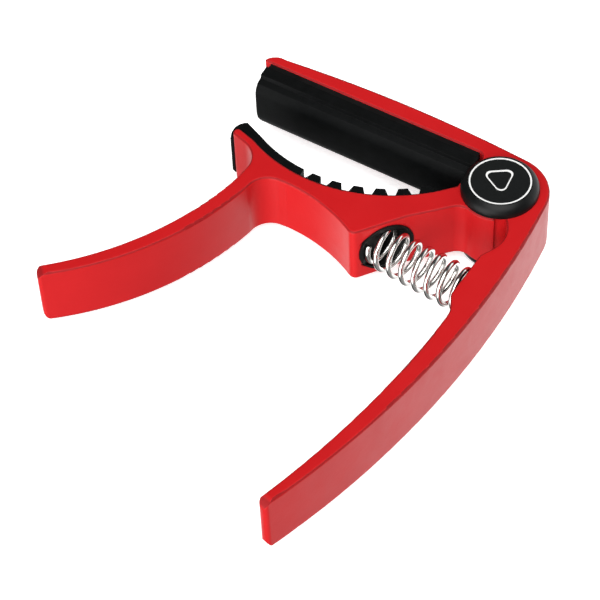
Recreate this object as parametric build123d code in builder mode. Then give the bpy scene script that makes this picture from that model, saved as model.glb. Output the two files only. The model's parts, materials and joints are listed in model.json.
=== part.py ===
"""Spring-loaded trigger capo for a guitar: two aluminium arms, a hinge, a coil spring and rubber pads.

Frame, in mm: the origin is the centre of the bottom cap's flat face, which the capo lies on. +Z is up, along
the hinge axis. The straight bar of the upper arm runs along -X from the hinge, and the string pad faces -Y.
The lower arm turns about +Z on the hinge, and a positive turn opens the jaws.
"""
import os
from math import cos, radians, sin

from build123d import *

# ---- driving dimensions -----------------------------------------------------------------------------------
ARM_WIDTH = 14.0  # both arms, along Z
CAP_HEIGHT = 2.6  # each hinge cap stands this far off the arms
ARM_BOTTOM = CAP_HEIGHT
ARM_TOP = ARM_BOTTOM + ARM_WIDTH
ARM_MIDDLE = ARM_BOTTOM + ARM_WIDTH / 2
EDGE_ROUND = 0.5  # rounding along the arms' upper and lower edges
TIP_CORNER_ROUND = 2.2  # rounded corners at the ends of the two handles, seen across their width
TIP_ROUND = 0.9  # rounding at the tips of the handles and the jaw, seen along the hinge axis

# hinge
CORNER_RADIUS = 9.95  # outside of the upper arm, round the hinge
SOCKET_RADIUS = 7.6  # in the upper arm
EYE_RADIUS = 7.5  # on the lower arm, turning in the socket
UPPER_LIP_ANGLE = 147.0  # the socket runs clockwise from this lip to the lower lip
LOWER_LIP_ANGLE = -51.5
TOE_ANGLE = 154.0  # end of the toe under the upper lip, the stop that holds the jaws apart at rest
TOE_RADIUS = 5.75
EYE_RELIEF_RADIUS = 5.65  # the eye is cut back to this radius where the toe stands
EYE_RELIEF_START = 128.0
EYE_RELIEF_END = 154.4
HINGE_EDGE_BAND = 0.1  # edges this near the socket or the eye stay sharp
LAND_RADIUS = 8.2  # raised land on the eye, whose shoulder is the opening stop
LAND_SHOULDER_ANGLE = -68.5
LAND_FILLET = 3.0
BUSH_RADIUS = 3.5
BUSH_BORE_RADIUS = 2.55
BARREL_RADIUS = 2.5
BARREL_BORE_RADIUS = 1.5
SCREW_RADIUS = 1.45
HEAD_RADIUS = 5.4
HEAD_THICKNESS = 1.1
HEAD_EDGE_ROUND = 0.25
SCREW_END_Z = 7.0
SCREW_END_GAP = 1.0  # below the screw's end, in the barrel
SCREW_CHAMFER = 0.3
DRIVE_RADIUS = 1.25  # hexagon socket in the screw's head
DRIVE_SLOT = (5.0, 1.0)  # slot in the barrel's head
DRIVE_DEPTH = 0.7
WASHER_OUTER_RADIUS = 7.2
WASHER_THICKNESS = 0.5
FACE_GAP = 0.03  # running gap on each side of a thrust washer
CAP_RADIUS = 7.95
CAP_TOP_RADIUS = 6.5
CAP_SIDE_HEIGHT = 0.7
CAP_SHOULDER_MIDDLE = (7.42, 0.75)  # radius and depth half-way down the cap's rounded shoulder
CAP_ROOF = 0.95
BADGE_RING_OUTER = 6.3
BADGE_RING_INNER = 5.97
BADGE_RADIUS = 5.95
EMBLEM_HEIGHT = 7.0
EMBLEM_LINE = 0.5
EMBLEM_TOP_SHARE = 0.42  # share of the emblem's height that is above the axis
EMBLEM_CORNER_SHARE = 0.17  # corner radius, as a share of the height
EMBLEM_TURN = 35.0  # degrees, so that it reads upright from the handles' side
EMBLEM_THICKNESS = 0.04
BADGE_THICKNESS = 0.35
BADGE_RECESS = 0.06
SEAT_GAP = 0.02  # gap round an inlaid or snapped-on piece

# upper arm
BAR_INNER_Y = 7.1
BAR_TIP = ((-57.0, 9.55), (-60.1, 8.5), (-60.9, BAR_INNER_Y))  # arc round the bar's end
BAR_TIP_INNER_ROUND = 0.4
PAD_CORNER_X = -7.7
PAD_CORNER_ROUND = 1.5
UPPER_TIP_OUTER = (1.6, -88.7)
UPPER_TIP_INNER = (-0.55, -88.15)
UPPER_HANDLE_INNER_MIDDLE = (5.55, -58.8)
UPPER_HANDLE_INNER_TOP = (7.25, -34.0)
SEAT_FOOT = (7.1, -32.0)  # foot of the slope up to the seat
SEAT_FOOT_ROUND = 3.0
SEAT_X = 5.1  # flat boss for the spring's seat
SEAT_TOP_Y = -16.9
SEAT_BOTTOM_Y = -28.4
SEAT_ROUND = 2.5
RECESS = ((6.2, -14.6), (7.0, -11.0), (5.3, -6.75))  # arc of the hollow between the seat and the socket

# string pad
PAD_START_X = -59.5
PAD_END_X = -8.1
PAD_FACE_Y = 0.5
PAD_FACE_HALF = 3.6
PAD_CREASE_Y = 1.6
PAD_CREASE_HALF = 5.5
PAD_STEP_Y = 3.1
PAD_STEP_HALF = 5.8
PAD_WIDE_HALF = 6.7
PAD_BASE_THICKNESS = 1.2
PAD_BASE_HALF = 6.6
KEEL_HALF = 1.6
KEEL_DEPTH = 1.2
KEEL_INSET = 3.0  # from the pad's ends
KEEL_END_GAP = 0.1
PAD_BASE_INSET = 0.5

# lower arm
JAW_CENTRE = (-35.2, 17.1)
JAW_RADIUS = 34.0
JAW_START_ANGLE = -25.8  # degrees along the jaw; a straight stretch leads from here to its tip
JAW_END_ANGLE = 54.0  # the jaw's arc meets the eye here
EYE_SIDE_ANGLE = 175.0  # a point on the eye between its relief and the jaw
JAW_TIP = (-55.2, -12.0)
JAW_BACK = (-54.9, -14.0)
COVE_CORNER = (-47.0, -16.2)
COVE_ROUND = 5.6
LOWER_OUTER_TOP = (-47.15, -23.0)
LOWER_OUTER_MIDDLE = (-53.65, -44.6)
LOWER_TIP_OUTER = (-68.4, -64.0)
LOWER_TIP_INNER = (-66.5, -65.8)
LOWER_INNER_MIDDLE = (-50.9, -46.4)
LOWER_INNER_TOP = (-44.0, -25.3)
ARCH_CORNER = (-43.6, -20.6)
ARCH_ROUND = 4.6
ARCH_TOP = (-38.0, -20.2)
ARCH_MIDDLE = (-30.0, -21.1)
BOSS_CORNER = (-19.3, -25.3)
BOSS_ROUND = 1.5
WEB_BEND = (-12.5, -15.8)
WEB_ANGLE = -121.0  # the web's lower wall meets the land here

# neck pad
NECK_PAD_PROUD = 1.9
NECK_PAD_HALF = 6.6
CHANNEL_DEPTH = 0.8
CHANNEL_HALF = 5.2
CHANNEL_GAP = 0.03
CHANNEL_START = -24.0  # degrees along the jaw
HOOK_START_ANGLE = -25.5
HOOK_OUTLINE = (
    (-54.2, -9.8),
    (-55.4, -10.7),
    (-55.95, -12.4),
    (-55.8, -13.9),
    (-54.8, -13.9),
    (-53.5, -13.4),
)
BLOCK_COUNT = 6
BLOCK_PITCH = 8.05  # degrees along the jaw
BLOCK_FIRST = 2.4
BLOCK_BASE = 3.3
BLOCK_TOP = 2.1
PAD_END_INSET = 1.2  # degrees, from the middle of the last groove
PAD_ROOT = 0.3  # the pad reaches this deep into its channel where it is wider than the channel
CHANNEL_END_GAP = 0.1  # degrees
GROOVE_OVERSHOOT = 0.2

# spring and its cups
SPRING_START = (-16.7, -19.55)  # centre of the first coil, in the lower arm's cup
SPRING_END = (4.95, -21.55)  # centre of the last coil, in the upper arm's cup
SPRING_MEAN_RADIUS = 4.2
WIRE_RADIUS = 0.58
SPRING_TURNS = 7.5
CUP_RADIUS = 5.9
CUP_PLACE = 0.64  # place of the cup's rim along the boss wall, from the corner to the bend
CUP_DEPTH = 2.6
CUP_RIM_PROUD = 0.3
CUP_BORE_RADIUS = 4.9
CUP_SLEEVE_RADIUS = 5.3
CUP_FLOOR = 0.5
CUP_SLEEVE_LENGTH = 3.4
SEAT_CUP_RADIUS = 5.4
SEAT_CUP_DEPTH = 1.7
SEAT_CUP_PROUD = 0.4
SEAT_CUP_FLOOR_X = 6.0

REACH = 300.0  # longer than the whole capo

# ---- values worked out from them --------------------------------------------------------------------------
PAD_LENGTH = PAD_END_X - PAD_START_X
PAD_MIDDLE_X = (PAD_START_X + PAD_END_X) / 2
KEEL_LENGTH = PAD_LENGTH - 2 * KEEL_INSET
PAD_END_ANGLE = BLOCK_FIRST + BLOCK_PITCH * (BLOCK_COUNT - 0.5) - PAD_END_INSET
BOTTOM_HEAD_Z = ARM_BOTTOM - FACE_GAP - WASHER_THICKNESS
TOP_HEAD_Z = ARM_TOP + FACE_GAP + WASHER_THICKNESS

SPRING_VECTOR = Vector(SPRING_END[0] - SPRING_START[0], SPRING_END[1] - SPRING_START[1], 0)
SPRING_LENGTH = SPRING_VECTOR.length
SPRING_PLANE = Plane(origin=(*SPRING_START, ARM_MIDDLE), x_dir=(0, 0, 1), z_dir=SPRING_VECTOR)
BOSS_WALL = Vector(WEB_BEND[0] - BOSS_CORNER[0], WEB_BEND[1] - BOSS_CORNER[1], 0)
CUP_PLANE = Plane(
    origin=Vector(*BOSS_CORNER, ARM_MIDDLE) + BOSS_WALL * CUP_PLACE,
    x_dir=(0, 0, 1),
    z_dir=(BOSS_WALL.Y, -BOSS_WALL.X, 0),
)
SEAT_PLANE = Plane(origin=(SEAT_X, SPRING_END[1], ARM_MIDDLE), x_dir=(0, 0, 1), z_dir=(-1, 0, 0))


def polar(radius, angle):
    """Point on a circle about the hinge axis, with the angle in degrees from +X."""
    return (radius * cos(radians(angle)), radius * sin(radians(angle)))


def on_jaw(radius, angle):
    """Point on a circle about the jaw's centre, with the angle in degrees from straight down."""
    return (
        JAW_CENTRE[0] + radius * sin(radians(angle)),
        JAW_CENTRE[1] - radius * cos(radians(angle)),
    )


def jaw_arc(radius, start, end):
    """Arc about the jaw's centre from one angle to another, in degrees."""
    return ThreePointArc(*[on_jaw(radius, angle) for angle in (start, (start + end) / 2, end)])


def jaw_band(inner_radius, outer_radius, start, end):
    """Face of the band between two circles about the jaw's centre, from one angle to another."""
    with BuildLine() as band:
        inner = jaw_arc(inner_radius, start, end)
        outer = jaw_arc(outer_radius, start, end)
        Line(inner @ 0, outer @ 0)
        Line(inner @ 1, outer @ 1)
    make_face(band.edges())


def groove_corners(angle):
    """Corners of one groove across the neck pad, wider at its mouth."""
    radial = Vector(sin(radians(angle)), -cos(radians(angle)))
    tangent = Vector(cos(radians(angle)), sin(radians(angle)))
    pitch = radians(BLOCK_PITCH) * JAW_RADIUS
    foot = (pitch - BLOCK_BASE) / 2
    mouth = (pitch - BLOCK_TOP) / 2
    bottom = PAD_ROOT + GROOVE_OVERSHOOT
    top = -NECK_PAD_PROUD - GROOVE_OVERSHOOT
    places = ((foot, bottom), (mouth, top), (-mouth, top), (-foot, bottom))
    return [Vector(*JAW_CENTRE) + radial * (JAW_RADIUS + depth) + tangent * side for side, depth in places]


def cap_section(face, inward):
    """Half section of a hinge cap whose flat face is at the height face. inward is +1 or -1, to the arms."""
    seat = CAP_HEIGHT - FACE_GAP
    shoulder = ((CAP_TOP_RADIUS, 0), CAP_SHOULDER_MIDDLE, (CAP_RADIUS, CAP_HEIGHT - CAP_SIDE_HEIGHT))
    underside = (
        (CAP_RADIUS, CAP_HEIGHT - CAP_SIDE_HEIGHT),
        (CAP_RADIUS, seat),
        (WASHER_OUTER_RADIUS + SEAT_GAP, seat),
        (WASHER_OUTER_RADIUS + SEAT_GAP, seat - WASHER_THICKNESS),
        (HEAD_RADIUS + SEAT_GAP, seat - WASHER_THICKNESS),
        (HEAD_RADIUS + SEAT_GAP, CAP_ROOF),
        (0, CAP_ROOF),
        (0, 0),
        (CAP_TOP_RADIUS, 0),
    )
    with BuildLine() as section:
        ThreePointArc(*[(x, face + inward * height) for x, height in shoulder])
        Polyline(*[(x, face + inward * height) for x, height in underside])
    make_face(section.edges())


def plectrum(height, mode=Mode.ADD):
    """Rounded triangle of a guitar pick, as wide as it is high, centred on the hinge axis."""
    top = EMBLEM_TOP_SHARE * height
    outline = Face(Wire.make_polygon([(-height / 2, top), (height / 2, top), (0, top - height)]))
    rounded = outline.fillet_2d(EMBLEM_CORNER_SHARE * height, outline.vertices())
    add(rounded.rotate(Axis.Z, EMBLEM_TURN), mode=mode)


def hinge_arc(radius, start, end):
    """Arc about the hinge axis from one angle to another, in degrees."""
    return ThreePointArc(polar(radius, start), polar(radius, (start + end) / 2), polar(radius, end))


def vertices_near(sketch, *points):
    """The sketch's vertices nearest the given points."""
    return [sketch.vertices().sort_by_distance(Vector(*point))[0] for point in points]


def round_handle_end(outer, inner):
    """Round the two corners of a handle's end, seen across its width, on the part being built.

    outer and inner are the ends of the handle's two sides.
    """
    middle = (Vector(*outer) + Vector(*inner)) * 0.5
    across = (Vector(*outer) - Vector(*inner)).normalized()
    along = across.cross(Vector(0, 0, 1))
    if along.dot(middle) < 0:
        along = along * -1
    plane = Plane(origin=middle + Vector(0, 0, ARM_MIDDLE), x_dir=along, z_dir=across)
    with BuildSketch(plane) as envelope:
        with Locations((-REACH / 2, 0)):
            Rectangle(REACH, ARM_WIDTH)
        fillet(envelope.vertices().group_by(Axis.X)[-1], TIP_CORNER_ROUND)
    extrude(envelope.sketch, amount=REACH, both=True, mode=Mode.INTERSECT)


def outline_edges(part, keep_off):
    """Edges round the part's top and bottom faces, further than keep_off from the hinge axis."""
    flat = part.edges().group_by(Axis.Z)
    level = ShapeList(flat[0] + flat[-1])
    return level.filter_by(lambda edge: Vector((edge @ 0.5).X, (edge @ 0.5).Y, 0).length > keep_off)


# ---- upper arm --------------------------------------------------------------------------------------------
with BuildPart() as upper_arm:
    with BuildSketch(Plane.XY.offset(ARM_BOTTOM)) as upper_profile:
        with BuildLine():
            corner = hinge_arc(CORNER_RADIUS, 85, 8.2)
            TangentArc(corner @ 1, UPPER_TIP_OUTER, tangent=corner % 1)
            Line(UPPER_TIP_OUTER, UPPER_TIP_INNER)
            ThreePointArc(UPPER_TIP_INNER, UPPER_HANDLE_INNER_MIDDLE, UPPER_HANDLE_INNER_TOP)
            Polyline(
                UPPER_HANDLE_INNER_TOP,
                SEAT_FOOT,
                (SEAT_X, SEAT_BOTTOM_Y),
                (SEAT_X, SEAT_TOP_Y),
                RECESS[0],
            )
            ThreePointArc(*RECESS)
            Line(RECESS[-1], polar(SOCKET_RADIUS, LOWER_LIP_ANGLE))
            hinge_arc(SOCKET_RADIUS, LOWER_LIP_ANGLE, UPPER_LIP_ANGLE)
            Line(polar(SOCKET_RADIUS, UPPER_LIP_ANGLE), polar(TOE_RADIUS, UPPER_LIP_ANGLE))
            hinge_arc(TOE_RADIUS, UPPER_LIP_ANGLE, TOE_ANGLE)
            Polyline(
                polar(TOE_RADIUS, TOE_ANGLE),
                polar(SOCKET_RADIUS, TOE_ANGLE),
                (PAD_CORNER_X, BAR_INNER_Y),
                BAR_TIP[-1],
            )
            ThreePointArc(*BAR_TIP)
            TangentArc(corner @ 0, BAR_TIP[0], tangent=(corner % 0) * -1)
        make_face()
        fillet(vertices_near(upper_profile, (PAD_CORNER_X, BAR_INNER_Y)), PAD_CORNER_ROUND)
        fillet(vertices_near(upper_profile, BAR_TIP[-1]), BAR_TIP_INNER_ROUND)
        fillet(vertices_near(upper_profile, (SEAT_X, SEAT_BOTTOM_Y), (SEAT_X, SEAT_TOP_Y)), SEAT_ROUND)
        fillet(vertices_near(upper_profile, SEAT_FOOT), SEAT_FOOT_ROUND)
        fillet(vertices_near(upper_profile, UPPER_TIP_OUTER, UPPER_TIP_INNER), TIP_ROUND)
    extrude(amount=ARM_WIDTH)
    fillet(outline_edges(upper_arm, SOCKET_RADIUS + HINGE_EDGE_BAND), EDGE_ROUND)
    round_handle_end(UPPER_TIP_OUTER, UPPER_TIP_INNER)
    with BuildSketch(Plane.XZ.offset(-BAR_INNER_Y)):
        with Locations((PAD_MIDDLE_X, ARM_MIDDLE)):
            Rectangle(KEEL_LENGTH + 2 * KEEL_END_GAP, 2 * KEEL_HALF)
    extrude(amount=-KEEL_DEPTH, mode=Mode.SUBTRACT)
    with BuildSketch(SEAT_PLANE):
        Circle(SEAT_CUP_RADIUS + SEAT_GAP)
    extrude(amount=-SEAT_CUP_DEPTH - SEAT_GAP, mode=Mode.SUBTRACT)

# ---- lower arm --------------------------------------------------------------------------------------------
with BuildPart() as lower_arm:
    with BuildSketch(Plane.XY.offset(ARM_BOTTOM)) as lower_profile:
        with BuildLine():
            jaw_arc(JAW_RADIUS, JAW_START_ANGLE, JAW_END_ANGLE)
            Polyline(on_jaw(JAW_RADIUS, JAW_START_ANGLE), JAW_TIP, JAW_BACK, COVE_CORNER, LOWER_OUTER_TOP)
            ThreePointArc(LOWER_OUTER_TOP, LOWER_OUTER_MIDDLE, LOWER_TIP_OUTER)
            Line(LOWER_TIP_OUTER, LOWER_TIP_INNER)
            ThreePointArc(LOWER_TIP_INNER, LOWER_INNER_MIDDLE, LOWER_INNER_TOP)
            Polyline(LOWER_INNER_TOP, ARCH_CORNER, ARCH_TOP)
            ThreePointArc(ARCH_TOP, ARCH_MIDDLE, BOSS_CORNER)
            Polyline(BOSS_CORNER, WEB_BEND, polar(LAND_RADIUS, WEB_ANGLE))
            hinge_arc(LAND_RADIUS, WEB_ANGLE, LAND_SHOULDER_ANGLE)
            Line(polar(LAND_RADIUS, LAND_SHOULDER_ANGLE), polar(EYE_RADIUS, LAND_SHOULDER_ANGLE))
            hinge_arc(EYE_RADIUS, LAND_SHOULDER_ANGLE, EYE_RELIEF_START)
            Line(polar(EYE_RADIUS, EYE_RELIEF_START), polar(EYE_RELIEF_RADIUS, EYE_RELIEF_START))
            hinge_arc(EYE_RELIEF_RADIUS, EYE_RELIEF_START, EYE_RELIEF_END)
            eye_side = polar(EYE_RADIUS, EYE_RELIEF_END)
            Line(polar(EYE_RELIEF_RADIUS, EYE_RELIEF_END), eye_side)
            ThreePointArc(eye_side, polar(EYE_RADIUS, EYE_SIDE_ANGLE), on_jaw(JAW_RADIUS, JAW_END_ANGLE))
        make_face()
        fillet(vertices_near(lower_profile, polar(LAND_RADIUS, WEB_ANGLE)), LAND_FILLET)
        fillet(vertices_near(lower_profile, BOSS_CORNER), BOSS_ROUND)
        fillet(vertices_near(lower_profile, ARCH_CORNER), ARCH_ROUND)
        fillet(vertices_near(lower_profile, COVE_CORNER), COVE_ROUND)
        fillet(vertices_near(lower_profile, JAW_TIP, JAW_BACK), TIP_ROUND)
        fillet(vertices_near(lower_profile, LOWER_TIP_OUTER, LOWER_TIP_INNER), TIP_ROUND)
    extrude(amount=ARM_WIDTH)
    fillet(outline_edges(lower_arm, EYE_RADIUS + HINGE_EDGE_BAND), EDGE_ROUND)
    round_handle_end(LOWER_TIP_OUTER, LOWER_TIP_INNER)
    with BuildSketch(Plane.XY.offset(ARM_MIDDLE)):
        jaw_band(
            JAW_RADIUS - CHANNEL_DEPTH,
            JAW_RADIUS + CHANNEL_DEPTH,
            CHANNEL_START - CHANNEL_END_GAP,
            PAD_END_ANGLE + CHANNEL_END_GAP,
        )
    extrude(amount=CHANNEL_HALF, both=True, mode=Mode.SUBTRACT)
    with BuildSketch(CUP_PLANE.offset(CUP_RIM_PROUD + SEAT_GAP)):
        Circle(CUP_RADIUS + SEAT_GAP)
    extrude(amount=-CUP_DEPTH - CUP_RIM_PROUD - 2 * SEAT_GAP, mode=Mode.SUBTRACT)
    with BuildSketch(SPRING_PLANE.offset(-WIRE_RADIUS - CUP_FLOOR - 2 * SEAT_GAP)):
        Circle(CUP_SLEEVE_RADIUS + SEAT_GAP)
    extrude(amount=CUP_SLEEVE_LENGTH, mode=Mode.SUBTRACT)
    with BuildSketch(Plane.XY.offset(ARM_BOTTOM)):
        Circle(BUSH_RADIUS)
    extrude(amount=ARM_WIDTH, mode=Mode.SUBTRACT)

# ---- string pad -------------------------------------------------------------------------------------------
with BuildPart() as string_pad_base:
    with BuildSketch(Plane.XZ.offset(-BAR_INNER_Y)):
        with Locations((PAD_MIDDLE_X, ARM_MIDDLE)):
            Rectangle(PAD_LENGTH - 2 * PAD_BASE_INSET, 2 * PAD_BASE_HALF)
    extrude(amount=PAD_BASE_THICKNESS)
    with BuildSketch(Plane.XZ.offset(-BAR_INNER_Y)):
        with Locations((PAD_MIDDLE_X, ARM_MIDDLE)):
            Rectangle(KEEL_LENGTH, 2 * KEEL_HALF - 2 * SEAT_GAP)
    extrude(amount=-KEEL_DEPTH + SEAT_GAP)

with BuildPart() as string_pad:
    with BuildSketch(Plane.YZ.offset(PAD_START_X)):
        with BuildLine():
            pad_half = Polyline(
                (BAR_INNER_Y - PAD_BASE_THICKNESS, ARM_MIDDLE),
                (BAR_INNER_Y - PAD_BASE_THICKNESS, ARM_MIDDLE + PAD_WIDE_HALF),
                (PAD_STEP_Y, ARM_MIDDLE + PAD_WIDE_HALF),
                (PAD_STEP_Y, ARM_MIDDLE + PAD_STEP_HALF),
                (PAD_CREASE_Y, ARM_MIDDLE + PAD_CREASE_HALF),
                (PAD_FACE_Y, ARM_MIDDLE + PAD_FACE_HALF),
                (PAD_FACE_Y, ARM_MIDDLE),
            )
            mirror(pad_half, about=Plane.XZ.offset(-ARM_MIDDLE))
        make_face()
    extrude(amount=PAD_LENGTH)

# ---- neck pad ---------------------------------------------------------------------------------------------
with BuildPart() as neck_pad:
    with BuildSketch(Plane.XY.offset(ARM_MIDDLE)):
        with BuildLine():
            pad_top = jaw_arc(JAW_RADIUS - NECK_PAD_PROUD, HOOK_START_ANGLE, PAD_END_ANGLE)
            pad_root = jaw_arc(JAW_RADIUS + PAD_ROOT, HOOK_START_ANGLE, PAD_END_ANGLE)
            Line(pad_top @ 1, pad_root @ 1)
            Polyline(pad_top @ 0, *HOOK_OUTLINE, pad_root @ 0)
        make_face()
        add(lower_profile.sketch_local, mode=Mode.SUBTRACT)
        for groove in range(BLOCK_COUNT):
            groove_angle = BLOCK_FIRST + BLOCK_PITCH * (groove - 0.5)
            with BuildLine():
                Polyline(*groove_corners(groove_angle), close=True)
            make_face(mode=Mode.SUBTRACT)
    extrude(amount=NECK_PAD_HALF, both=True)
    keel_radius = JAW_RADIUS + CHANNEL_DEPTH - CHANNEL_GAP
    with BuildSketch(Plane.XY.offset(ARM_MIDDLE)):
        jaw_band(JAW_RADIUS - PAD_ROOT, keel_radius, CHANNEL_START, PAD_END_ANGLE)
    extrude(amount=CHANNEL_HALF - CHANNEL_GAP, both=True)

# ---- hinge ------------------------------------------------------------------------------------------------
with BuildPart() as hinge_bush:
    with BuildSketch(Plane.XY.offset(ARM_BOTTOM + FACE_GAP)):
        Circle(BUSH_RADIUS)
        Circle(BUSH_BORE_RADIUS, mode=Mode.SUBTRACT)
    extrude(amount=ARM_WIDTH - 2 * FACE_GAP)

with BuildPart() as bottom_thrust_washer:
    with BuildSketch(Plane.XY.offset(BOTTOM_HEAD_Z)):
        Circle(WASHER_OUTER_RADIUS)
        Circle(BUSH_BORE_RADIUS, mode=Mode.SUBTRACT)
    extrude(amount=WASHER_THICKNESS)

with BuildPart() as top_thrust_washer:
    with BuildSketch(Plane.XY.offset(ARM_TOP + FACE_GAP)):
        Circle(WASHER_OUTER_RADIUS)
        Circle(BUSH_BORE_RADIUS, mode=Mode.SUBTRACT)
    extrude(amount=WASHER_THICKNESS)

with BuildPart() as hinge_barrel:
    with BuildSketch(Plane.XY.offset(BOTTOM_HEAD_Z)):
        Circle(HEAD_RADIUS)
    extrude(amount=-HEAD_THICKNESS)
    fillet(hinge_barrel.edges().group_by(Axis.Z)[0], HEAD_EDGE_ROUND)
    with BuildSketch(Plane.XY.offset(BOTTOM_HEAD_Z - HEAD_THICKNESS)):
        Rectangle(*DRIVE_SLOT)
    extrude(amount=DRIVE_DEPTH, mode=Mode.SUBTRACT)
    with BuildSketch(Plane.XY.offset(BOTTOM_HEAD_Z)):
        Circle(BARREL_RADIUS)
    extrude(amount=TOP_HEAD_Z - BOTTOM_HEAD_Z)
    with BuildSketch(Plane.XY.offset(TOP_HEAD_Z)):
        Circle(BARREL_BORE_RADIUS)
    extrude(amount=SCREW_END_Z - SCREW_END_GAP - TOP_HEAD_Z, mode=Mode.SUBTRACT)

with BuildPart() as hinge_screw:
    with BuildSketch(Plane.XY.offset(TOP_HEAD_Z)):
        Circle(HEAD_RADIUS)
    extrude(amount=HEAD_THICKNESS)
    fillet(hinge_screw.edges().group_by(Axis.Z)[-1], HEAD_EDGE_ROUND)
    with BuildSketch(Plane.XY.offset(TOP_HEAD_Z + HEAD_THICKNESS)):
        RegularPolygon(DRIVE_RADIUS, 6)
    extrude(amount=-DRIVE_DEPTH, mode=Mode.SUBTRACT)
    with BuildSketch(Plane.XY.offset(SCREW_END_Z)):
        Circle(SCREW_RADIUS)
    extrude(amount=TOP_HEAD_Z - SCREW_END_Z)
    chamfer(hinge_screw.edges().group_by(Axis.Z)[0], SCREW_CHAMFER)

# ---- caps -------------------------------------------------------------------------------------------------
with BuildPart() as bottom_cap:
    with BuildSketch(Plane.XZ) as bottom_cap_section:
        cap_section(0, 1)
    revolve(axis=Axis.Z)

with BuildPart() as top_cap:
    with BuildSketch(Plane.XZ) as top_cap_section:
        cap_section(ARM_TOP + CAP_HEIGHT, -1)
    revolve(axis=Axis.Z)
    with BuildSketch(Plane.XY.offset(ARM_TOP + CAP_HEIGHT)):
        Circle(BADGE_RING_OUTER + SEAT_GAP)
    extrude(amount=-BADGE_THICKNESS - BADGE_RECESS, mode=Mode.SUBTRACT)

with BuildPart() as badge_ring:
    with BuildSketch(Plane.XY.offset(ARM_TOP + CAP_HEIGHT - BADGE_THICKNESS - BADGE_RECESS)):
        Circle(BADGE_RING_OUTER)
        Circle(BADGE_RING_INNER, mode=Mode.SUBTRACT)
    extrude(amount=BADGE_THICKNESS + BADGE_RECESS)

with BuildPart() as badge_disc:
    with BuildSketch(Plane.XY.offset(ARM_TOP + CAP_HEIGHT - BADGE_THICKNESS - BADGE_RECESS)):
        Circle(BADGE_RADIUS)
    extrude(amount=BADGE_THICKNESS)

with BuildPart() as badge_emblem:
    with BuildSketch(Plane.XY.offset(ARM_TOP + CAP_HEIGHT - BADGE_RECESS)):
        plectrum(EMBLEM_HEIGHT)
        plectrum(EMBLEM_HEIGHT - 2 * EMBLEM_LINE, mode=Mode.SUBTRACT)
    extrude(amount=EMBLEM_THICKNESS)

# ---- spring and its cups ----------------------------------------------------------------------------------
with BuildPart() as spring:
    with BuildLine():
        coil = Helix(
            pitch=SPRING_LENGTH / SPRING_TURNS,
            height=SPRING_LENGTH,
            radius=SPRING_MEAN_RADIUS,
            center=SPRING_PLANE.origin,
            direction=SPRING_PLANE.z_dir,
        )
    with BuildSketch(Plane(origin=coil @ 0, z_dir=coil % 0)):
        Circle(WIRE_RADIUS)
    sweep()

with BuildPart() as lower_arm_spring_cup:
    with BuildSketch(SPRING_PLANE.offset(-WIRE_RADIUS - CUP_FLOOR - SEAT_GAP)):
        Circle(CUP_SLEEVE_RADIUS)
    extrude(amount=CUP_SLEEVE_LENGTH)
    split(bisect_by=CUP_PLANE.offset(-CUP_RIM_PROUD), keep=Keep.BOTTOM)
    with BuildSketch(CUP_PLANE.offset(-CUP_DEPTH)):
        Circle(CUP_RADIUS)
    extrude(amount=CUP_DEPTH + CUP_RIM_PROUD)
    with BuildSketch(SPRING_PLANE.offset(-WIRE_RADIUS - SEAT_GAP)):
        Circle(CUP_BORE_RADIUS)
    extrude(amount=SPRING_LENGTH, mode=Mode.SUBTRACT)

with BuildPart() as upper_arm_spring_cup:
    with BuildSketch(SEAT_PLANE.offset(-SEAT_CUP_DEPTH)):
        Circle(SEAT_CUP_RADIUS)
    extrude(amount=SEAT_CUP_DEPTH + SEAT_CUP_PROUD)
    with BuildSketch(SEAT_PLANE.offset(SEAT_X - SEAT_CUP_FLOOR_X)):
        Circle(CUP_BORE_RADIUS)
    extrude(amount=SEAT_CUP_DEPTH + SEAT_CUP_PROUD, mode=Mode.SUBTRACT)

# ---- one file for each piece ------------------------------------------------------------------------------
pieces = {
    "upper_arm": upper_arm,
    "lower_arm": lower_arm,
    "string_pad_base": string_pad_base,
    "string_pad": string_pad,
    "neck_pad": neck_pad,
    "hinge_bush": hinge_bush,
    "hinge_barrel": hinge_barrel,
    "hinge_screw": hinge_screw,
    "top_thrust_washer": top_thrust_washer,
    "bottom_thrust_washer": bottom_thrust_washer,
    "top_cap": top_cap,
    "bottom_cap": bottom_cap,
    "badge_ring": badge_ring,
    "badge_disc": badge_disc,
    "badge_emblem": badge_emblem,
    "spring": spring,
    "lower_arm_spring_cup": lower_arm_spring_cup,
    "upper_arm_spring_cup": upper_arm_spring_cup,
}
os.makedirs("parts", exist_ok=True)
for name, piece in pieces.items():
    piece.part.label = name
    export_step(piece.part, f"parts/{name}.step")
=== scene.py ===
"""Looks for the trigger capo: camera, floor, light, materials and the pieces modelled finer than in CAD.

All lengths are in metres, in the frame of the CAD model: the origin is the centre of the bottom cap's flat
face, +Z runs up along the hinge axis, the upper arm's bar runs along -X, and the string pad faces -Y.
"""

import json
import math

import bmesh
import bpy
from mathutils import Matrix, Vector


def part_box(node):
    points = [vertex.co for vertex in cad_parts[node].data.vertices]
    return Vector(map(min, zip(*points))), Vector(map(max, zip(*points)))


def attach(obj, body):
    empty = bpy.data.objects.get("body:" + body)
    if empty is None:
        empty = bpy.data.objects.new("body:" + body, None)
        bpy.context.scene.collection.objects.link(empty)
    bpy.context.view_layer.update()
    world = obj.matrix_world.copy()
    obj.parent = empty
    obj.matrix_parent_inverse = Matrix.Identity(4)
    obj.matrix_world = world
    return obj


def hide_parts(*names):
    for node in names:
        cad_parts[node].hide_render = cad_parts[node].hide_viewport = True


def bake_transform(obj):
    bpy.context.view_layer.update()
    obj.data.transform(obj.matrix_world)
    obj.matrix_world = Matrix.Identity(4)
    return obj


MM = 0.001

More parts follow.
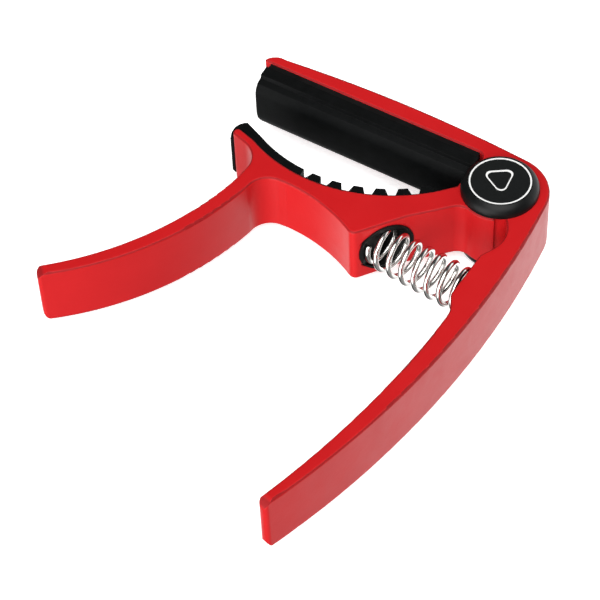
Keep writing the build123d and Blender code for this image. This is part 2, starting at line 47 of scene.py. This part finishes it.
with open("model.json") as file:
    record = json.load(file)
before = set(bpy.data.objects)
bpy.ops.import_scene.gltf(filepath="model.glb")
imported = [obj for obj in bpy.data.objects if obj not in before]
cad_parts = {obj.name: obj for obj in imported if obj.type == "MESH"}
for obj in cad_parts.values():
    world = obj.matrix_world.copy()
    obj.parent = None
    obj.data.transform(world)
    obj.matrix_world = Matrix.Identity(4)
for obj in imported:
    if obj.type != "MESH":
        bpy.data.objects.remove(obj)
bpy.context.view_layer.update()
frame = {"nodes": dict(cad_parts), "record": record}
nodes = frame["nodes"]
scene = bpy.context.scene

# ---- driving values ---------------------------------------------------------------------------------------
ARM_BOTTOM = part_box("lower_arm")[0].z
ARM_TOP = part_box("lower_arm")[1].z
ARM_MIDDLE = (ARM_BOTTOM + ARM_TOP) / 2

CAMERA_AIM = Vector((-18.92, -44.73, 16.6)) * MM
CAMERA_FORWARD = Vector((-0.36572, 0.52711, -0.76708))
CAMERA_DISTANCE = 463.2 * MM
CAMERA_ROLL = math.radians(-2.977)
CAMERA_LENS = 144.1

JAW_CENTRE = Vector((-35.2, 17.1)) * MM
JAW_RADIUS = 34.0 * MM
NECK_PAD_RADIUS = 32.1 * MM
NECK_PAD_START = -25.5  # at the jaw's tip, in degrees along the jaw, as are all the angles of this pad
NECK_PAD_BACK_START = -22.3  # where the back of the lining meets the hook
NECK_PAD_LIFT = 0.01 * MM  # the back of the lining is this far clear of the jaw
SOLID_TOP_LEAN = 1.5  # the end of the solid stretch leans back by these angles
SOLID_FOOT_LEAN = 1.0
SOLID_STEPS = 14
BACK_STEPS = 30
BLOCK_COUNT = 6
BLOCK_PITCH = 8.05
BLOCK_FIRST = 2.4
BLOCK_FOOT = 3.3 * MM
BLOCK_TOP = 1.9 * MM
GAP_FLOOR = 0.2 * MM  # rubber left between the blocks
LAST_GAP_CUT = 1.2  # the lining stops this far before the next block would start
HOOK_OUTLINE = (  # x and y in mm round the jaw's tip, and how far each side of the pad is drawn in there
    ((-53.2, -12.35), 0.0),
    ((-54.35, -12.3), 0.3),
    ((-55.15, -12.8), 0.6),
    ((-55.05, -13.75), 1.2),
    ((-55.65, -13.9), 1.9),
    ((-55.97, -12.9), 1.2),
    ((-55.9, -11.6), 0.7),
    ((-55.35, -10.6), 0.5),
    ((-54.6, -9.95), 0.3),
    ((-54.0, -9.75), 0.1),
)
NECK_PAD_ROUND = 0.4 * MM

STRING_PAD_SIDE = 6.68 * MM  # half the pad's width at its root
STRING_PAD_PROFILE = (  # depth behind the contact face, and half the pad's width there
    (2.75 * MM, STRING_PAD_SIDE),
    (2.55 * MM, 5.85 * MM),  # step
    (1.15 * MM, 5.45 * MM),  # crease
    (0.25 * MM, 4.1 * MM),
    (0.03 * MM, 3.0 * MM),
    (0.0, 1.2 * MM),
)
STRING_PAD_END_ROUND = 1.0 * MM
STRING_PAD_ROUND = 0.3 * MM
PAD_HALF_WIDTH = 6.6 * MM  # of both pads
PAD_EDGE_ANGLE = math.radians(24)  # edges sharper than this are rounded

SPRING_START = Vector((-16.7, -19.55, 9.6)) * MM
SPRING_END = Vector((4.95, -21.55, 9.6)) * MM
SPRING_AXIS = (SPRING_END - SPRING_START).normalized()
SPRING_RADIUS = 4.2 * MM
END_COIL_DRAW_IN = 0.6 * MM  # the wire starts this much nearer the axis
END_COIL_TURNS = 0.9  # and reaches its full radius after these turns
WIRE_RADIUS = 0.58 * MM
OPEN_TURNS = 6.7
CLOSED_TURNS = (0.4, 0.6)  # at the two ends of the coil
CLOSED_PITCH = 2.1 * WIRE_RADIUS
SPRING_TURN = math.radians(55)  # where the wire starts round the coil
STEPS_PER_TURN = 96
WIRE_SIDES = 32

TABLE_GLOW = 0.6
STUDIO_BASE = 0.06
STUDIO_GLOWS = (
    ((0.25, -0.45, 0.86), 0.76, 0.95, 4.1),  # softbox overhead
    ((-0.1, -0.98, -0.05), 0.76, 0.95, 4.3),  # softbox in front of the handles
    ((0.0, 0.0, -1.0), 0.1, 0.5, 0.25),  # white table
    ((-0.55, -0.35, -0.76), 0.6, 0.95, -0.3),  # black card on the table, left
    ((0.25, 0.65, -0.72), 0.78, 0.98, 1.4),  # reflector on the table, right
    ((-0.62, 0.2, -0.76), 0.88, 0.985, 1.7),  # reflector on the table, behind the web
    ((0.5, 0.85, 0.1), 0.65, 0.95, 1.5),  # fill from behind
)


# ---- mesh helpers -----------------------------------------------------------------------------------------
def new_object(name, mesh_builder):
    """A smooth-shaded mesh object from a filled bmesh."""
    mesh = bpy.data.meshes.new(name)
    mesh_builder.to_mesh(mesh)
    mesh_builder.free()
    piece = bpy.data.objects.new(name, mesh)
    scene.collection.objects.link(piece)
    mesh.polygons.foreach_set("use_smooth", [True] * len(mesh.polygons))
    return piece


def bake_modifiers(piece):
    """Replace the piece's mesh by its evaluated mesh, with no modifiers left."""
    graph = bpy.context.evaluated_depsgraph_get()
    piece.data = bpy.data.meshes.new_from_object(piece.evaluated_get(graph))
    piece.modifiers.clear()
    return piece


def soften(piece, width):
    """Round the piece's sharp edges, with shading that stays flat on flat faces."""
    bevel = piece.modifiers.new("bevel", "BEVEL")
    bevel.width = width
    bevel.segments = 3
    bevel.limit_method = "ANGLE"
    bevel.angle_limit = PAD_EDGE_ANGLE
    bevel.use_clamp_overlap = True
    bevel.harden_normals = True
    return bake_modifiers(piece)


def prism(name, outline, layers, place):
    """Solid made by moving a closed outline through layers. place(point, layer) is a point in the frame."""
    mesh = bmesh.new()
    rings = [[mesh.verts.new(place(point, layer)) for point in outline] for layer in layers]
    mesh.faces.new(rings[0])
    mesh.faces.new(list(reversed(rings[-1])))
    for near, far in zip(rings, rings[1:]):
        for index in range(len(outline)):
            following = (index + 1) % len(outline)
            mesh.faces.new((near[following], near[index], far[index], far[following]))
    bmesh.ops.recalc_face_normals(mesh, faces=mesh.faces)
    return new_object(name, mesh)


def on_jaw(radius, angle):
    """Point on a circle about the jaw's centre, with the angle in degrees from straight down."""
    return (
        JAW_CENTRE.x + radius * math.sin(math.radians(angle)),
        JAW_CENTRE.y - radius * math.cos(math.radians(angle)),
    )


# ---- material helpers -------------------------------------------------------------------------------------
class Shader:
    """A node material with short calls for the nodes used here."""

    def __init__(self, name):
        self.material = bpy.data.materials.new(name)
        self.material.use_nodes = True
        self.tree = self.material.node_tree
        self.bsdf = self.tree.nodes["Principled BSDF"]
        self.place = self.tree.nodes.new("ShaderNodeTexCoord").outputs["Object"]

    def link(self, value, socket):
        """Set a socket to a constant, or link it to another node's output."""
        if isinstance(value, bpy.types.NodeSocket):
            self.tree.links.new(value, socket)
        else:
            socket.default_value = value

    def set(self, **values):
        """Set the shader's own sockets; underscores stand for spaces."""
        for name, value in values.items():
            self.link(value, self.bsdf.inputs[name.replace("_", " ")])

    def stretch(self, factors, source=None):
        """Coordinates scaled along each axis."""
        node = self.tree.nodes.new("ShaderNodeMapping")
        self.link(source or self.place, node.inputs["Vector"])
        node.inputs["Scale"].default_value = factors
        return node.outputs["Vector"]

    def noise(self, size, detail=4.0, roughness=0.55, source=None, distortion=0.0):
        """Noise whose features are about size metres across, from 0 to 1."""
        node = self.tree.nodes.new("ShaderNodeTexNoise")
        self.link(source or self.place, node.inputs["Vector"])
        node.inputs["Scale"].default_value = 1 / size
        node.inputs["Detail"].default_value = detail
        node.inputs["Roughness"].default_value = roughness
        node.inputs["Distortion"].default_value = distortion
        return node.outputs["Fac"]

    def speckle(self, size):
        """Distance to the nearest of random points about size metres apart, from 0 to about 1."""
        node = self.tree.nodes.new("ShaderNodeTexVoronoi")
        self.link(self.place, node.inputs["Vector"])
        node.inputs["Scale"].default_value = 1 / size
        return node.outputs["Distance"]

    def ramp(self, value, low, high, out_low=0.0, out_high=1.0):
        """Map low..high to out_low..out_high, and hold the ends."""
        node = self.tree.nodes.new("ShaderNodeMapRange")
        self.link(value, node.inputs["Value"])
        limits = {"From Min": low, "From Max": high, "To Min": out_low, "To Max": out_high}
        for name, number in limits.items():
            node.inputs[name].default_value = number
        return node.outputs["Result"]

    def math(self, operation, first, second=0.0):
        """One arithmetic step."""
        node = self.tree.nodes.new("ShaderNodeMath")
        node.operation = operation
        self.link(first, node.inputs[0])
        self.link(second, node.inputs[1])
        return node.outputs["Value"]

    def mix(self, share, first, second):
        """Colour between first and second."""
        node = self.tree.nodes.new("ShaderNodeMix")
        node.data_type = "RGBA"
        self.link(share, node.inputs["Factor"])
        self.link(first, node.inputs["A"])
        self.link(second, node.inputs["B"])
        return node.outputs["Result"]

    def bump(self, height, depth, below=None):
        """Normal pushed by a height from 0 to 1 that stands for depth metres."""
        node = self.tree.nodes.new("ShaderNodeBump")
        node.inputs["Strength"].default_value = 1.0
        node.inputs["Distance"].default_value = depth
        self.link(height, node.inputs["Height"])
        if below is not None:
            self.link(below, node.inputs["Normal"])
        return node.outputs["Normal"]

    def rounded(self, radius):
        """Normal rounded over edges within the radius."""
        node = self.tree.nodes.new("ShaderNodeBevel")
        node.samples = 6
        node.inputs["Radius"].default_value = radius
        return node.outputs["Normal"]

    def edge(self, radius):
        """How close the surface is to an edge, from 0 on flat stretches to 1 on the edge."""
        node = self.tree.nodes.new("ShaderNodeVectorMath")
        node.operation = "DOT_PRODUCT"
        self.link(self.rounded(radius), node.inputs[0])
        geometry = self.tree.nodes.new("ShaderNodeNewGeometry")
        self.link(geometry.outputs["Normal"], node.inputs[1])
        return self.ramp(node.outputs["Value"], 1.0, 0.85)

    def rounding(self):
        """1 on the rounded edges between level faces and upright walls, 0 on both."""
        geometry = self.tree.nodes.new("ShaderNodeNewGeometry")
        split = self.tree.nodes.new("ShaderNodeSeparateXYZ")
        self.link(geometry.outputs["Normal"], split.inputs["Vector"])
        lean = self.math("ABSOLUTE", split.outputs["Z"])
        return self.math("MULTIPLY", self.ramp(lean, 0.15, 0.5), self.ramp(lean, 0.98, 0.85))


# ---- materials --------------------------------------------------------------------------------------------
def make_red_enamel():
    """Satin red coat over metal: fine orange peel, soft smudges, painted shade darkening the rounded edges,
    and patchy painted highlight along the edges.
    """
    s = Shader("red_enamel")
    peel = s.noise(0.9 * MM, detail=2.0)
    grain = s.noise(0.12 * MM, detail=3.0)
    cloud = s.noise(14 * MM, detail=5.0)
    smudge = s.noise(5 * MM, detail=6.0, roughness=0.65, distortion=0.6)
    edge = s.edge(0.25 * MM)
    # painted highlight: lighter red mixed in patches along the edges
    painted_edge_highlight = s.math("MULTIPLY", edge, s.ramp(s.noise(2.2 * MM, detail=6.0), 0.42, 0.7))
    red = s.mix(s.ramp(cloud, 0.3, 0.7), (0.50, 0.008, 0.010, 1), (0.54, 0.010, 0.012, 1))
    rounding = s.rounding()
    # painted shade: the rounded edges are darkened in colour to stand for the dark reflection along them
    red = s.mix(s.math("MULTIPLY", rounding, 0.75), red, (0.20, 0.001, 0.003, 1))
    s.set(Base_Color=s.mix(s.math("MULTIPLY", painted_edge_highlight, 0.10), red, (0.86, 0.16, 0.14, 1)))
    s.set(Metallic=0.0, Specular_IOR_Level=0.3)
    roughness = s.math("ADD", s.ramp(smudge, 0.3, 0.75, 0.33, 0.42), s.ramp(grain, 0.3, 0.7, -0.02, 0.03))
    s.set(Roughness=s.math("ADD", roughness, s.math("MULTIPLY", rounding, 0.35)))
    s.set(Normal=s.bump(grain, 0.004 * MM, s.bump(peel, 0.012 * MM, s.rounded(0.3 * MM))))
    return s.material


def make_rubber():
    """Matt black rubber: fine moulded grain, soft lumps and faint dust."""
    s = Shader("black_rubber")
    grain = s.noise(0.18 * MM, detail=4.0, roughness=0.7)
    lumps = s.noise(2.5 * MM, detail=3.0)
    dust = s.ramp(s.speckle(0.8 * MM), 0.10, 0.04)
    dusty = s.math("MULTIPLY", dust, s.ramp(s.noise(6 * MM, detail=4.0), 0.5, 0.75, 0.0, 0.35))
    black = s.mix(s.ramp(lumps, 0.3, 0.7), (0.0018, 0.0022, 0.0022, 1), (0.0035, 0.004, 0.0042, 1))
    s.set(Base_Color=s.mix(dusty, black, (0.05, 0.05, 0.049, 1)))
    s.set(Roughness=s.ramp(grain, 0.3, 0.7, 0.48, 0.66))
    s.set(Specular_IOR_Level=0.10)
    s.set(Normal=s.bump(grain, 0.010 * MM, s.bump(lumps, 0.02 * MM)))
    return s.material


def make_moulded_plastic(name, dark, pale, low, high, grain_depth):
    """Black moulded plastic with a fine spark-eroded grain and a cloudy gloss."""
    s = Shader(name)
    grain = s.noise(0.10 * MM, detail=3.0, roughness=0.6)
    cloud = s.noise(3.5 * MM, detail=5.0)
    s.set(Base_Color=s.mix(s.ramp(cloud, 0.3, 0.7), dark, pale))
    s.set(Roughness=s.math("ADD", s.ramp(cloud, 0.3, 0.7, low, high), s.ramp(grain, 0.3, 0.7, -0.03, 0.03)))
    s.set(Specular_IOR_Level=0.18)
    s.set(Normal=s.bump(grain, grain_depth))
    return s.material


def make_print(name, colour, other, roughness):
    """Printed face of the badge, with a faint ink texture."""
    s = Shader(name)
    ink = s.noise(0.25 * MM, detail=5.0)
    s.set(Base_Color=s.mix(s.ramp(ink, 0.35, 0.65), colour, other))
    s.set(Roughness=s.ramp(ink, 0.3, 0.7, roughness - 0.05, roughness + 0.06), Specular_IOR_Level=0.3)
    s.set(Normal=s.bump(ink, 0.003 * MM))
    return s.material


def make_spring_steel():
    """Bright plated wire with drawing lines along it and faint dull patches."""
    s = Shader("spring_steel")
    along = s.tree.nodes.new("ShaderNodeAttribute")
    along.attribute_name = "wire_place"
    lines = s.noise(1.0, detail=5.0, source=s.stretch((0.35, 7.0, 7.0), along.outputs["Vector"]))
    patches = s.noise(1.6 * MM, detail=4.0)
    s.set(Base_Color=s.mix(s.ramp(patches, 0.35, 0.7), (0.80, 0.79, 0.77, 1), (0.70, 0.69, 0.67, 1)))
    s.set(Metallic=1.0)
    s.set(Roughness=s.math("ADD", s.ramp(patches, 0.3, 0.7, 0.12, 0.16), s.ramp(lines, 0.3, 0.7, 0, 0.04)))
    s.set(Normal=s.bump(lines, 0.0003 * MM))
    return s.material


def make_turned_metal(name, colour, other):
    """Turned or plated metal of the hinge's hidden pieces, with rings left by the tool."""
    s = Shader(name)
    rings = s.noise(0.3 * MM, detail=3.0, source=s.stretch((1.0, 1.0, 6.0)))
    s.set(Base_Color=s.mix(s.ramp(s.noise(2 * MM), 0.3, 0.7), colour, other))
    s.set(Metallic=1.0, Roughness=s.ramp(rings, 0.3, 0.7, 0.25, 0.42))
    s.set(Normal=s.bump(rings, 0.005 * MM))
    return s.material


def make_nylon():
    """Natural nylon of the thrust washers."""
    s = Shader("white_nylon")
    cloud = s.noise(1.5 * MM)
    s.set(Base_Color=s.mix(s.ramp(cloud, 0.3, 0.7), (0.70, 0.69, 0.64, 1), (0.80, 0.79, 0.75, 1)))
    s.set(Roughness=s.ramp(cloud, 0.3, 0.7, 0.4, 0.52), Subsurface_Weight=0.1)
    s.set(Normal=s.bump(s.noise(0.2 * MM), 0.004 * MM))
    return s.material


materials = {
    "red_enamel": make_red_enamel(),
    "black_rubber": make_rubber(),
    "black_plastic": make_moulded_plastic(
        "black_plastic", (0.003, 0.003, 0.003, 1), (0.006, 0.006, 0.006, 1), 0.38, 0.5, 0.006 * MM
    ),
    "cap_plastic": make_moulded_plastic(
        "cap_plastic", (0.003, 0.0035, 0.0035, 1), (0.005, 0.0055, 0.0055, 1), 0.34, 0.42, 0.004 * MM
    ),
    "badge_black": make_print("badge_black", (0.006, 0.007, 0.007, 1), (0.009, 0.010, 0.010, 1), 0.36),
    "badge_white": make_print("badge_white", (0.86, 0.86, 0.85, 1), (0.80, 0.80, 0.79, 1), 0.4),
    "spring_steel": make_spring_steel(),
    "zinc_steel": make_turned_metal("zinc_steel", (0.56, 0.57, 0.58, 1), (0.48, 0.49, 0.5, 1)),
    "brass": make_turned_metal("brass", (0.72, 0.52, 0.24, 1), (0.62, 0.43, 0.18, 1)),
    "white_nylon": make_nylon(),
}
slot_of = {entry["node"]: entry["material_slot"] for entry in frame["record"]["subparts"]}


def paint(piece, slot):
    """Give the piece one material."""
    piece.data.materials.clear()
    piece.data.materials.append(materials[slot])


def stand_for(piece, node, body):
    """The piece is shown in place of the CAD node, in that node's material, and moves with the body."""
    paint(piece, slot_of[node])
    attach(piece, body)
    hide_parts(node)


for node_name, node in nodes.items():
    node.data.materials.clear()
    node.data.materials.append(materials[slot_of[node_name]])


# ---- string pad -------------------------------------------------------------------------------------------
def make_string_pad():
    """Rubber bar: crowned contact face, a crease and a step down each side, rounded ends."""
    low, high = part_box("string_pad")
    half_side = [(high.y, STRING_PAD_SIDE)]
    half_side += [(low.y + depth, half_width) for depth, half_width in STRING_PAD_PROFILE]
    outline = [*half_side, *[(y, -z) for y, z in reversed(half_side)]]
    ends = []
    for angle in (0, 30, 60, 90):
        along = STRING_PAD_END_ROUND * (1 - math.cos(math.radians(angle)))
        inset = STRING_PAD_END_ROUND * (1 - math.sin(math.radians(angle)))
        ends.append((along, inset))
    layers = [(low.x + along, inset) for along, inset in ends]
    layers += [(high.x - along, inset) for along, inset in reversed(ends)]

    def place(point, layer):
        """The outline shrinks towards the bar at the rounded ends."""
        x, inset = layer
        y, z = point
        reach = (high.y - y) / (high.y - low.y)
        return (x, y + inset * reach, ARM_MIDDLE + z * (1 - inset * reach / PAD_HALF_WIDTH))

    pad = prism("string_pad_rubber", outline, layers, place)
    soften(pad, STRING_PAD_ROUND)
    stand_for(pad, "string_pad", "upper_arm")


# ---- neck pad ---------------------------------------------------------------------------------------------
def neck_pad_outline():
    """Outline of the neck pad seen along the hinge axis, from the jaw's tip to the hinge and back.

    Each entry is a point and how far the pad's two sides are drawn in there.
    """
    solid_end = BLOCK_FIRST - BLOCK_PITCH * 0.5
    solid_turn = solid_end - SOLID_TOP_LEAN - NECK_PAD_START
    half_foot = math.degrees(BLOCK_FOOT / JAW_RADIUS) / 2
    half_top = math.degrees(BLOCK_TOP / NECK_PAD_RADIUS) / 2
    gap_radius = JAW_RADIUS - GAP_FLOOR
    outline = []
    for step in range(SOLID_STEPS + 1):
        outline.append((on_jaw(NECK_PAD_RADIUS, NECK_PAD_START + solid_turn * step / SOLID_STEPS), 0))
    outline.append((on_jaw(gap_radius, solid_end - SOLID_FOOT_LEAN), 0))
    for block in range(BLOCK_COUNT):
        centre = BLOCK_FIRST + BLOCK_PITCH * block
        outline.append((on_jaw(gap_radius, centre - half_foot), 0))
        outline.append((on_jaw(NECK_PAD_RADIUS, centre - half_top), 0))
        outline.append((on_jaw(NECK_PAD_RADIUS, centre + half_top), 0))
        outline.append((on_jaw(gap_radius, centre + half_foot), 0))
    last = BLOCK_FIRST + BLOCK_PITCH * (BLOCK_COUNT - 0.5) - LAST_GAP_CUT
    outline.append((on_jaw(gap_radius, last), 0))
    back_turn = NECK_PAD_BACK_START - last
    for step in range(BACK_STEPS + 1):
        outline.append((on_jaw(JAW_RADIUS - NECK_PAD_LIFT, last + back_turn * step / BACK_STEPS), 0))
    outline += [((x * MM, y * MM), inset * MM) for (x, y), inset in HOOK_OUTLINE]
    return outline


def make_neck_pad():
    """Rubber lining of the jaw: a hook round the tip, a solid stretch and a row of separate blocks."""

    def place(entry, side):
        (x, y), inset = entry
        return (x, y, ARM_MIDDLE + side * (PAD_HALF_WIDTH - inset))

    pad = prism("neck_pad_rubber", neck_pad_outline(), (-1, 1), place)
    soften(pad, NECK_PAD_ROUND)
    stand_for(pad, "neck_pad", "lower_arm")


make_string_pad()
make_neck_pad()


# ---- spring -----------------------------------------------------------------------------------------------
def coil_centres():
    """Points along the middle of the wire, from the lower arm's cup to the upper arm's."""
    length = (SPRING_END - SPRING_START).length
    up = Vector((0, 0, 1))
    side = SPRING_AXIS.cross(up)
    turns = OPEN_TURNS + sum(CLOSED_TURNS)
    count = int(turns * STEPS_PER_TURN)
    open_pitch = (length - sum(CLOSED_TURNS) * CLOSED_PITCH) / OPEN_TURNS

    def rise(turn):
        """Distance along the axis after some turns: closed coils, open coils, closed coils."""
        opened = min(max(turn - CLOSED_TURNS[0], 0), OPEN_TURNS)
        return CLOSED_PITCH * (turn - opened) + open_pitch * opened

    centres = []
    for step in range(count + 1):
        turn = turns * step / count
        angle = SPRING_TURN + 2 * math.pi * turn
        radial = up * math.cos(angle) + side * math.sin(angle)
        still_in = 1 - min(turn / END_COIL_TURNS, 1)
        radius = SPRING_RADIUS - END_COIL_DRAW_IN * still_in**2 * (3 - 2 * still_in)
        centres.append(SPRING_START + SPRING_AXIS * rise(turn) + radial * radius)
    return centres


def make_spring():
    """Round-wire compression spring with closed end coils, as one tube with its ends cut square."""
    centres = coil_centres()
    mesh = bmesh.new()
    wire_place = mesh.verts.layers.float_vector.new("wire_place")
    rings = []
    walked = 0.0
    for step, centre in enumerate(centres):
        before = centres[max(step - 1, 0)]
        after = centres[min(step + 1, len(centres) - 1)]
        tangent = (after - before).normalized()
        walked += (centre - before).length
        on_axis = SPRING_START + SPRING_AXIS * (centre - SPRING_START).dot(SPRING_AXIS)
        outward = (centre - on_axis).normalized()
        binormal = tangent.cross(outward).normalized()
        outward = binormal.cross(tangent).normalized()
        ring = []
        for spoke in range(WIRE_SIDES):
            turn = 2 * math.pi * spoke / WIRE_SIDES
            vertex = mesh.verts.new(
                centre + (outward * math.cos(turn) + binormal * math.sin(turn)) * WIRE_RADIUS
            )
            vertex[wire_place] = (walked / MM, math.cos(turn), math.sin(turn))
            ring.append(vertex)
        rings.append(ring)
    for lower, upper in zip(rings, rings[1:]):
        for spoke in range(WIRE_SIDES):
            following = (spoke + 1) % WIRE_SIDES
            mesh.faces.new((lower[spoke], lower[following], upper[following], upper[spoke]))
    mesh.faces.new(list(reversed(rings[0])))
    mesh.faces.new(rings[-1])
    bmesh.ops.recalc_face_normals(mesh, faces=mesh.faces)
    spring = new_object("coil_spring", mesh)
    paint(spring, "spring_steel")
    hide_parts("spring")
    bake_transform(spring)


make_spring()


# ---- floor, light and camera ------------------------------------------------------------------------------
def make_floor():
    """White light table with the object's faint shadow. It doesn't tint or light the object."""
    mesh = bmesh.new()
    bmesh.ops.create_grid(mesh, x_segments=2, y_segments=2, size=3.0)
    floor = new_object("floor", mesh)
    s = Shader("floor")
    s.set(Base_Color=(0.95, 0.95, 0.95, 1), Roughness=0.8, Specular_IOR_Level=0.0)
    s.set(Emission_Color=(1, 1, 1, 1), Emission_Strength=TABLE_GLOW)
    floor.data.materials.append(s.material)
    floor.visible_diffuse = False
    floor.visible_glossy = False
    floor.visible_shadow = False


def make_world(base, glows):
    """Dim studio with soft round lights.

    Each glow is a direction, the cosines of the angles where it starts and where it is full, and a strength.
    """
    world = bpy.data.worlds.new("studio")
    scene.world = world
    world.use_nodes = True
    tree = world.node_tree
    direction = tree.nodes.new("ShaderNodeTexCoord").outputs["Generated"]
    total = None
    for towards, start, full, strength in glows:
        turn = tree.nodes.new("ShaderNodeVectorMath")
        turn.operation = "DOT_PRODUCT"
        tree.links.new(direction, turn.inputs[0])
        turn.inputs[1].default_value = Vector(towards).normalized()
        glow = tree.nodes.new("ShaderNodeMapRange")
        glow.interpolation_type = "SMOOTHSTEP"
        tree.links.new(turn.outputs["Value"], glow.inputs["Value"])
        limits = {"From Min": start, "From Max": full, "To Min": 0, "To Max": strength}
        for name, number in limits.items():
            glow.inputs[name].default_value = number
        add = tree.nodes.new("ShaderNodeMath")
        tree.links.new(glow.outputs["Result"], add.inputs[0])
        if total is None:
            add.inputs[1].default_value = base
        else:
            tree.links.new(total, add.inputs[1])
        total = add.outputs["Value"]
    tree.links.new(total, tree.nodes["Background"].inputs["Strength"])
    tree.nodes["Background"].inputs["Color"].default_value = (1, 1, 1, 1)


def make_camera():
    """Camera at the view of the capo lying on its side, seen from above the handles."""
    forward = CAMERA_FORWARD.normalized()
    level = forward.cross(Vector((0, 0, 1))).normalized()
    upright = level.cross(forward)
    right = level * math.cos(CAMERA_ROLL) + upright * math.sin(CAMERA_ROLL)
    up = upright * math.cos(CAMERA_ROLL) - level * math.sin(CAMERA_ROLL)
    turn = Matrix((right, up, -forward)).transposed().to_4x4()
    data = bpy.data.cameras.new("camera")
    data.lens = CAMERA_LENS
    data.sensor_width = 36.0
    data.clip_start = 0.01
    camera = bpy.data.objects.new("camera", data)
    camera.matrix_world = Matrix.Translation(CAMERA_AIM - forward * CAMERA_DISTANCE) @ turn
    scene.collection.objects.link(camera)
    scene.camera = camera


make_floor()
make_world(STUDIO_BASE, STUDIO_GLOWS)
make_camera()
scene.view_settings.view_transform = "Standard"
